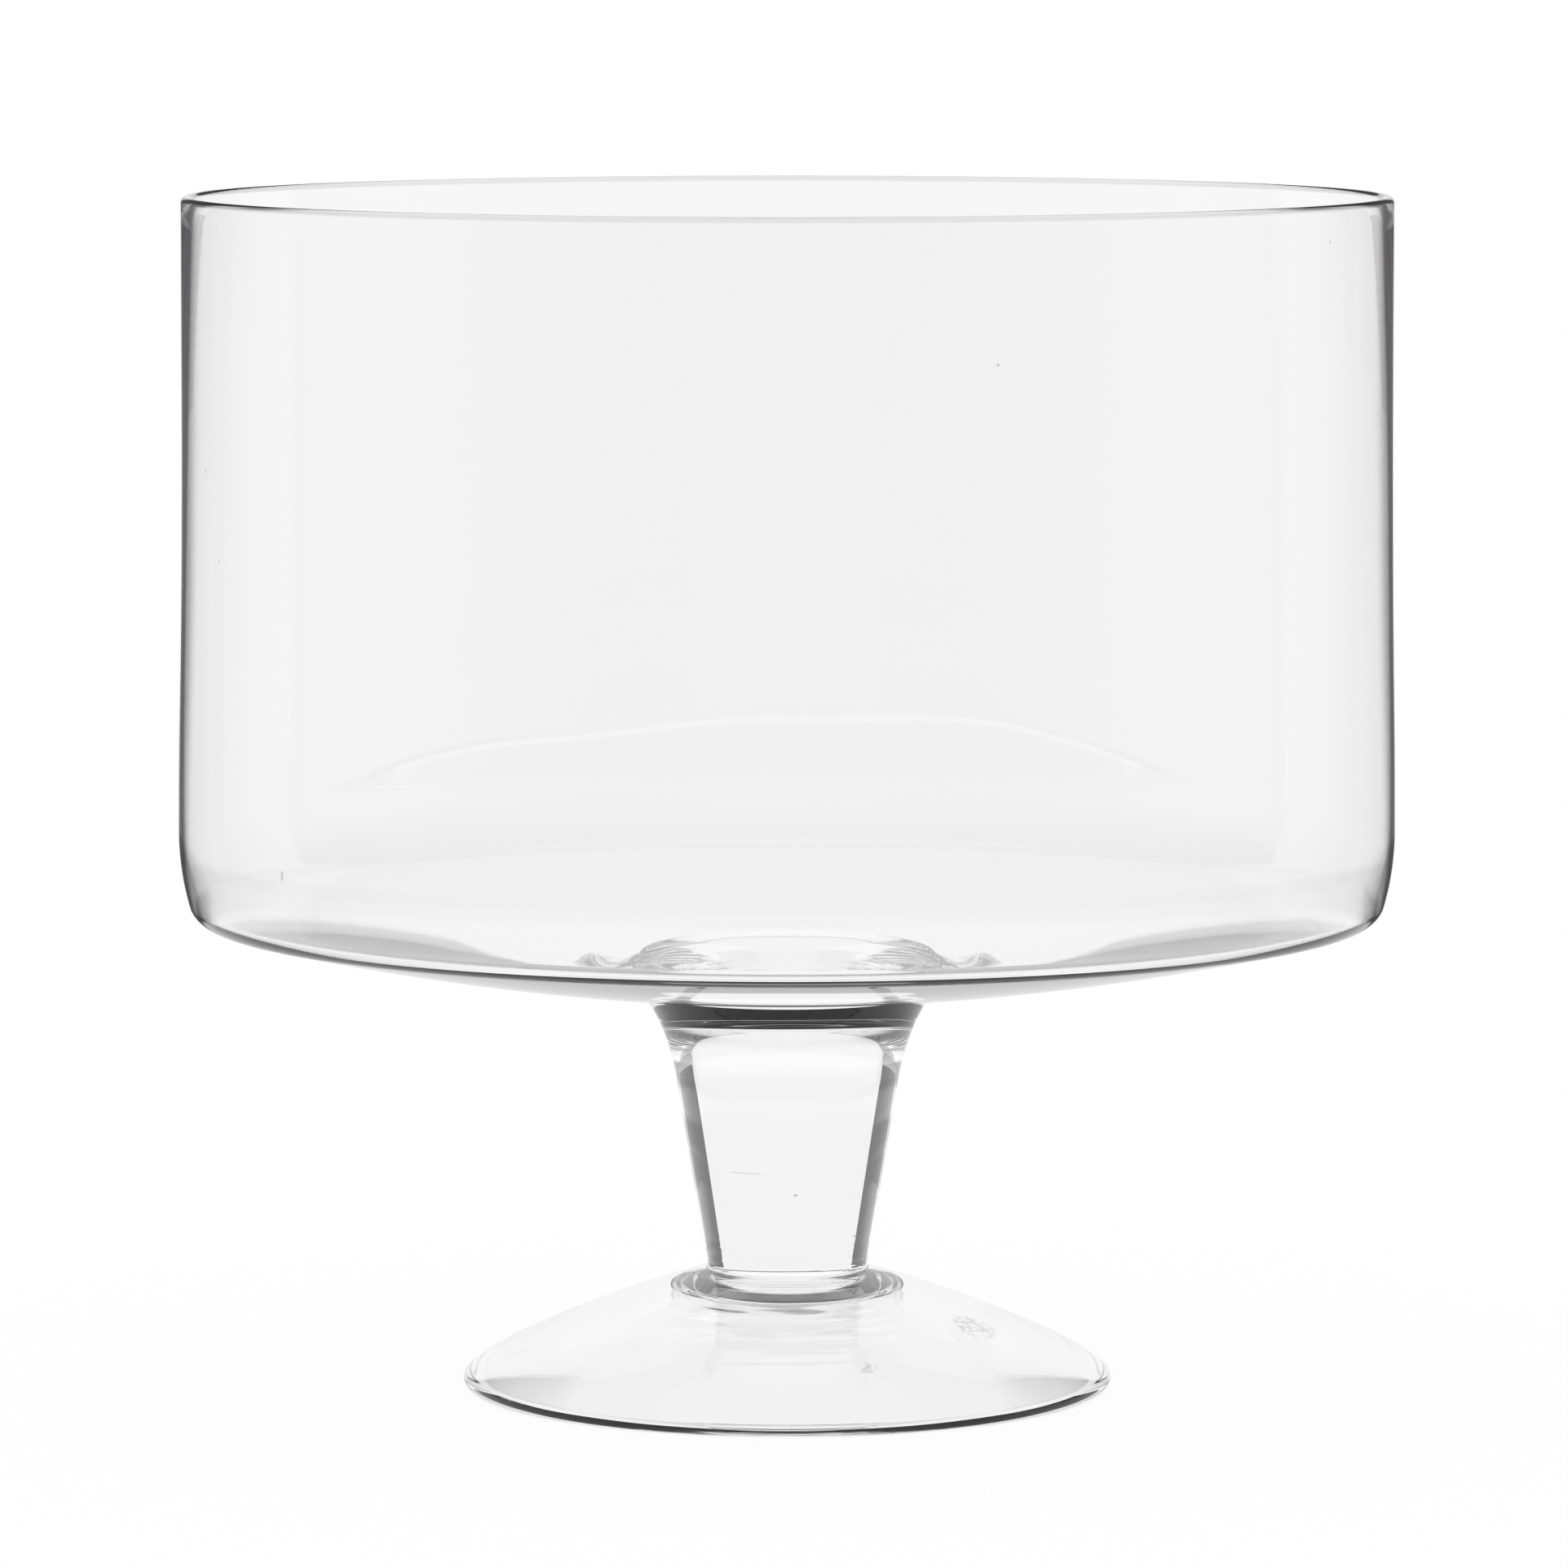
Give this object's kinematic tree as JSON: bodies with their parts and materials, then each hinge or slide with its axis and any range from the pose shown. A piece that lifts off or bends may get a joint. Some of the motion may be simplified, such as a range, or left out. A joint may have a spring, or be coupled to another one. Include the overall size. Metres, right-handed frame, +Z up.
{
  "type": "trifle bowl",
  "caption": "Clear glass footed trifle bowl: wide straight-sided open bowl on a solid tapering stem and a hollow domed foot, for layered desserts, fruit or display.",
  "frame": {"origin": "centre of the flat ring under the foot, on the surface that the bowl stands on", "axes": "+Z up along the axis of the bowl; +X to the right and +Y away from the viewer as in the picture"},
  "size_m": [0.222, 0.222, 0.218],
  "materials": {
    "clear_glass": "clear, fire polished, hand made, with small seeds and faint waves"
  },
  "bodies": {
    "root": {"bowl": "clear_glass", "stem": "clear_glass", "foot": "clear_glass"}
  },
  "joints": []
}
